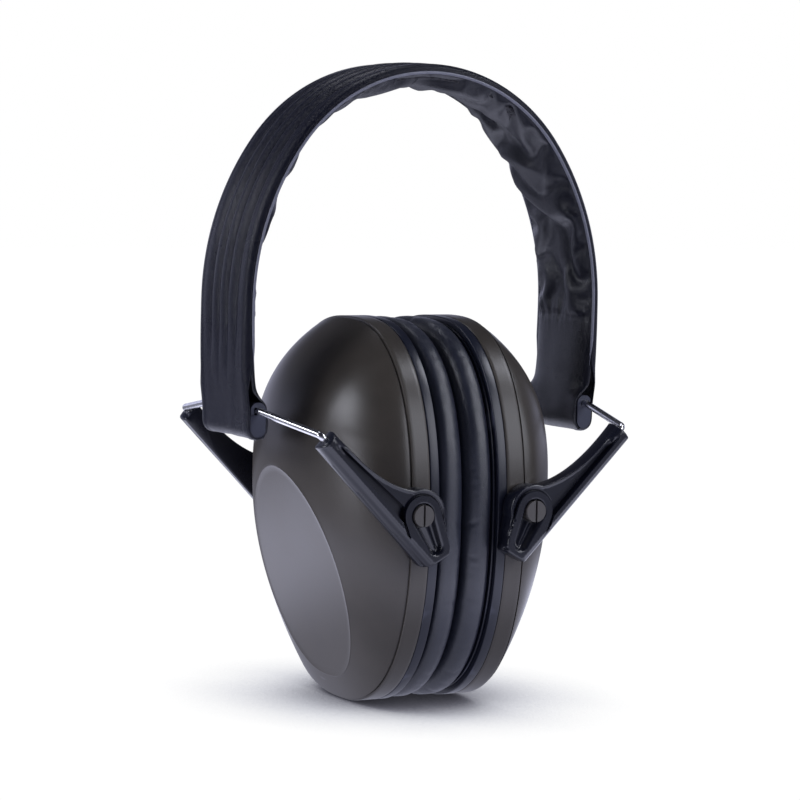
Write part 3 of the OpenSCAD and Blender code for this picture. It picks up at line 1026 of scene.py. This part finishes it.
def face_height(p, edge):
    """Height of an arm's outer face: tube with a ridge, recess, web, and a rimmed boss with its trough."""
    tip = TIP - PIN
    t = (p - tip) @ LOW_SIDE
    down = (p - tip) @ LEG
    flank = np.sqrt(np.clip(1 - (np.clip(t - 1.25, 0, 1.75) / 1.75) ** 2, 0.0, 1))
    tube = 0.3 + (FACE - 0.55) * flank + 0.25 * (1 - smoothstep(1.05, 1.25, t))
    upper = np.sqrt(np.clip(1 - (np.clip(-t - 0.4, 0, 2.6) / 2.6) ** 2, 0.0, 1))
    round_tip = 0.3 + (FACE - 0.3) * upper
    near_tip = 1 - smoothstep(1.5, 7.0, down)
    low_edge = -0.75 - 0.085 * down
    recess = 1.35 * smoothstep(low_edge - 0.35, low_edge, t)
    lip = 0.35 * (1 - smoothstep(0.6, 0.85, edge)) * smoothstep(2, 9, down)
    plate = FACE - 0.85 - recess + lip
    plate = plate * (1 - near_tip) + round_tip * near_tip
    on_tube = smoothstep(-0.5, -0.2, t)
    height = tube * on_tube + plate * (1 - on_tube)
    rim = capsule_distance(p, *RIM)
    off_tube = 1 - smoothstep(1.05, 1.25, t)
    shoulder = smoothstep(0.0, 0.12, rim)
    boss = (FACE - 0.02) * (1 - shoulder) + np.minimum(height, FACE - 0.5) * shoulder
    boss -= 0.4 * shoulder * (1 - smoothstep(0.35, 0.58, rim))
    on_boss = off_tube * (1 - smoothstep(0.58, 0.8, rim))
    height = boss * on_boss + height * (1 - on_boss)
    slot = capsule_distance(p, *SLOT)
    along = unit(np.array(SLOT[2], float))
    off = p @ np.array([-along[1], along[0]])
    spine = 0.75 * np.exp(-((off / 0.8) ** 2)) * smoothstep(-0.7, -1.5, slot)
    height = height - (2.1 * smoothstep(0.1, -1.5, slot) - spine)
    r = 0.5
    rounding = r - np.sqrt(np.clip(r * r - (r - np.clip(edge, 0, r)) ** 2, 0, None))
    return height - rounding * smoothstep(-0.1, 0.6, height)


def capsule_outline(a, ra, b, rb, grow):
    """Contour of a tapered capsule at a distance, as a line of points."""
    a, b = np.array(a, float), np.array(b, float)
    centre = (a + b) / 2
    angles = np.linspace(0, 2 * math.pi, 220)
    ways = np.column_stack([np.cos(angles), np.sin(angles)])
    reach = ray_lengths(220, 30.0, 30, lambda d: capsule_distance(centre + ways * d, a, ra, b, rb) < grow)
    return resampled(centre + ways * reach, 0.25)


def feature_lines():
    """Lines on an arm's face where its height changes quickly."""
    tip = TIP - PIN
    lines = []
    for t in (-0.5, -0.2, 1.05, 1.25, 1.7, 2.1, 2.4, 2.62):
        lines.append(resampled([tip + LOW_SIDE * t, tip + LOW_SIDE * t + LEG * 60], 0.25))
    for shift in (0.0, -0.35):
        far = 36.0
        a = tip + LOW_SIDE * (-0.75 + shift)
        b = tip + LOW_SIDE * (-0.75 - 0.085 * far + shift) + LEG * far
        lines.append(resampled([a, b], 0.25))
    lines += [capsule_outline(*RIM, grow) for grow in (0.0, 0.12, 0.35, 0.58, 0.8)]
    lines += [capsule_outline(*SLOT, grow) for grow in (0.1, -0.15, -0.4, -0.65, -0.9, -1.2, -1.5, -1.85)]
    return lines


def arms():
    """Front and rear arms: outer face as heights over a triangulated outline, walls and a rounded back."""
    outline = arm_outline()
    x, z = outline.T
    if np.sum(x * np.roll(z, -1) - np.roll(x, -1) * z) < 0:
        outline = outline[::-1]  # it has to run with its inside on the left
    tangent = np.roll(outline, -1, axis=0) - np.roll(outline, 1, axis=0)
    inward = unit(np.column_stack([-tangent[:, 1], tangent[:, 0]]))
    count = len(outline)
    loops = [outline + inward * d for d in (0, 0.07, 0.18, 0.34, 0.6, 0.85)]
    low, high = outline.min(0), outline.max(0)
    flat = list(np.concatenate(loops))
    edges = [(k * count + i, k * count + (i + 1) % count) for k in range(len(loops)) for i in range(count)]
    for line in feature_lines():
        keep = inside_outline(line, outline)
        keep[keep] = outline_distance(line[keep], outline) > 0.95
        for i in range(len(line)):
            if keep[i]:
                flat.append(line[i])
                if i and keep[i - 1]:
                    edges.append((len(flat) - 2, len(flat) - 1))
    lines = np.array(flat)
    rise = GRID_STEP * 0.866
    grid = np.array([(x, low[1] + j * rise) for j in range(int((high[1] - low[1]) / rise) + 1)
                     for x in np.arange(low[0] + (j % 2) * GRID_STEP / 2, high[0], GRID_STEP)])
    grid = grid[inside_outline(grid, outline)]
    grid = grid[outline_distance(grid, outline) > 0.85 + GRID_STEP * 0.5]
    clear = np.array([np.min(np.sum((lines - p) ** 2, axis=1)) > 0.26 ** 2 for p in grid])
    flat = np.concatenate([lines, grid[clear]])
    result = geometry.delaunay_2d_cdt([Vector(p) for p in flat], edges, [], 1, 1e-5)
    points = np.array([tuple(v) for v in result[0]])
    faces = [tuple(f) for f in result[2]]

    def placed(flat, heights):
        return np.column_stack([PIN[0] + flat[:, 0], -(LEG_Y + heights), PIN[1] + flat[:, 1]])

    front = placed(points, face_height(points, outline_distance(points, outline)))
    rim = [int(np.argmin(np.sum((points - p) ** 2, axis=1))) for p in outline]
    back_loops = [placed(outline + inward * inset, np.full(count, height))
                  for inset, height in ((0.0, BACK + 0.5), (0.15, BACK + 0.15), (0.5, BACK))]
    base = len(front)
    walls = [(rim[i], rim[(i + 1) % count], base + (i + 1) % count, base + i) for i in range(count)]
    walls += [tuple(base + v for v in f) for f in ring_faces(len(back_loops), count)]
    back = [tuple(base + (len(back_loops) - 1) * count + i for i in range(count))]
    arm = new_piece("arm", np.concatenate([front] + back_loops), faces + walls + back)
    combine(arm, pin_cylinder(-(LEG_Y + BACK + 0.5), arm_high[1], 4.5), "UNION")  # a foot on the cup's seat
    combine(arm, pin_cylinder(-60, stud_low[1] + 3.6, 3.4))  # a recess for the stud's head
    combine(arm, pin_cylinder(-60, -30, 2.5))
    bore = np.array([(x, -LEG_Y, z) for x, z in (TIP - 2 * LEG, TIP + (LEG_IN + 3) * LEG)])
    combine(arm, swept_tube("tool", bore, WIRE_R + 0.06))
    shade(arm, 62)
    on_both_sides(mirrored(arm, "rear", 1), "rear_arm_body", GLOSS, "yoke", "rear_arm")
    on_both_sides(arm, "front_arm_body", GLOSS, "yoke", "front_arm")


# ---- CAD pieces that stay
def dress(node, mat, bevel):
    """Gives a CAD piece its material and softened edges."""
    piece = frame["nodes"][node]
    piece.data.materials.clear()
    piece.data.materials.append(mat)
    shade(piece, 30)
    b = piece.modifiers.new("edges", "BEVEL")
    b.width, b.segments = bevel * MM, 2
    b.limit_method, b.angle_limit = "ANGLE", math.radians(50)
    b.harden_normals = True


def cad_pieces():
    for kind, mat, bevel in (("end_fitting", BLACK, 0.15), ("wire_keeper", BLACK, 0.1),
                             ("end_rivets", SPRING, 0.1), ("front_stud", OLIVE, 0.14), ("rear_stud", OLIVE, 0.14)):
        dress(f"left_{kind}", mat, bevel)
        dress(f"right_{kind}", mat, bevel)


# ---- stage
def floor():
    """To the eye a white backdrop with a soft shadow; in reflections brightest a little way off."""
    mesh = bpy.data.meshes.new("floor")
    mesh.from_pydata([(-3, -3, 0), (3, -3, 0), (3, 3, 0), (-3, 3, 0)], [], [(0, 1, 2, 3)])
    piece = bpy.data.objects.new("floor", mesh)
    piece.location.z = -0.0003
    show(piece)
    m, g, shader = material("floor")
    g.nodes.remove(shader)
    place = g.read("NewGeometry", "Position")
    spread = g.add("VectorMath", {0: place}, operation="LENGTH").outputs["Value"]
    path = g.add("LightPath", {})
    rise, fall = between(g, spread, 0.05, 0.13, 0.35, 1), between(g, spread, 0.14, 0.28, 1.85, 0.28)
    gloss = g.maths("MULTIPLY", rise, fall)
    soft = g.mix(path.outputs["Is Glossy Ray"], grey(0.5), gloss)
    bounce = g.add("Emission", {"Strength": soft, "Color": (0.86, 0.88, 1.1)})
    hidden = g.add("AmbientOcclusion", {"Distance": 0.06}, samples=8)
    shadow = g.ramp(hidden.outputs["AO"], (0, (0.02, 0.02, 0.025)), (0.35, (0.13, 0.13, 0.16)),
                    (0.58, (0.60, 0.61, 0.67)), (0.80, grey(1)))
    glow = g.add("Emission", {"Strength": 1.02, "Color": shadow})
    seen = g.add("MixShader", {0: path.outputs["Is Camera Ray"], 1: bounce.outputs[0], 2: glow.outputs[0]})
    g.put(g.nodes["Material Output"].inputs["Surface"], seen.outputs[0])
    mesh.materials.append(m)


def between(g, value, low, high, start, end):
    """A smooth change from start to end as value goes from low to high."""
    inputs = {"Value": value, "From Min": low, "From Max": high, "To Min": start, "To Max": end}
    return g.add("MapRange", inputs, interpolation_type="SMOOTHSTEP").outputs["Result"]


def room():
    """A white room to the eye, but dark overhead in reflections, with a bright band by the horizon."""
    world = bpy.data.worlds.new("studio")
    bpy.context.scene.world = world
    world.use_nodes = True
    g = Graph(world.node_tree)
    way = g.read("TexCoord", "Generated")
    up = g.add("SeparateXYZ", {0: way}).outputs["Z"]
    sky = g.ramp(up, (0, (0.85, 0.87, 1.15)), (0.14, (0.62, 0.64, 0.86)), (0.32, (0.05, 0.052, 0.07)),
                 (0.7, (0.03, 0.031, 0.04)), (1, (0.10, 0.10, 0.13)))
    facing = g.add("VectorMath", {0: way, 1: (0.48, 0.87, 0)}, operation="DOT_PRODUCT").outputs["Value"]
    lit_side = g.grey_ramp(g.maths("MULTIPLY_ADD", facing, 0.5, 0.5), 0.54, 0.05, 0.78, 1)
    reflected = g.mix(lit_side, (0.028, 0.03, 0.04), sky)
    camera_ray = g.read("LightPath", "Is Camera Ray")
    fill(g, g.nodes["Background"], Color=g.mix(camera_ray, reflected, grey(1.0)), Strength=1.0)


LIGHTS = (("shoulder", (-0.86, 0.07, 0.52), 0.34, 3.2), ("low left", (-0.95, -0.10, 0.10), 0.30, 1.9),
          ("behind left", (-0.72, 0.45, 0.50), 0.25, 1.6), ("front right", (0.50, -0.72, 0.42), 0.55, 3.4),
          ("top", (0.1, 0.35, 1.1), 0.35, 2.4), ("upper right", (0.62, -0.28, 0.86), 0.32, 2.6))
LIGHT_COLOUR = (0.88, 0.90, 1.0)


def lights():
    """Square soft boxes, each with a place in metres, a side length and a power, turned to the object."""
    for name, place, size, power in LIGHTS:
        data = bpy.data.lights.new(name, "AREA")
        data.size, data.energy, data.color = size, power, LIGHT_COLOUR
        light = bpy.data.objects.new(name, data)
        light.location = place
        show(light)
        aim = Vector((0, 0, 0.09)) - Vector(place)
        light.rotation_euler = aim.to_track_quat("-Z", "Y").to_euler()


VIEW_AZIMUTH, VIEW_ELEVATION, VIEW_ROLL = (math.radians(a) for a in (28.6, 4.83, 1.3))
VIEW_TARGET = Vector((-0.13, 0, 83.99)) * MM
VIEW_DISTANCE = 0.9005
LENS = 143.07


def camera():
    """A low view from the front left, with a long lens and a slight roll."""
    back = Vector((-math.sin(VIEW_AZIMUTH) * math.cos(VIEW_ELEVATION),
                   -math.cos(VIEW_AZIMUTH) * math.cos(VIEW_ELEVATION), math.sin(VIEW_ELEVATION)))
    data = bpy.data.cameras.new("camera")
    data.sensor_width, data.lens, data.clip_start = 36, LENS, 0.01
    eye = bpy.data.objects.new("camera", data)
    show(eye)
    eye.location = VIEW_TARGET + back * VIEW_DISTANCE
    right = (-back).cross(Vector((0, 0, 1))).normalized()
    up = right.cross(-back)
    r = math.cos(VIEW_ROLL) * right + math.sin(VIEW_ROLL) * up
    u = -math.sin(VIEW_ROLL) * right + math.cos(VIEW_ROLL) * up
    eye.rotation_euler = Matrix((r, u, back)).transposed().to_euler()
    bpy.context.scene.camera = eye


seal_plates()
cup_shells()
acoustic_foams()
cushions()
headband()
wires()
arms()
cad_pieces()
floor()
room()
lights()
camera()
bpy.context.scene.view_settings.view_transform = "Standard"
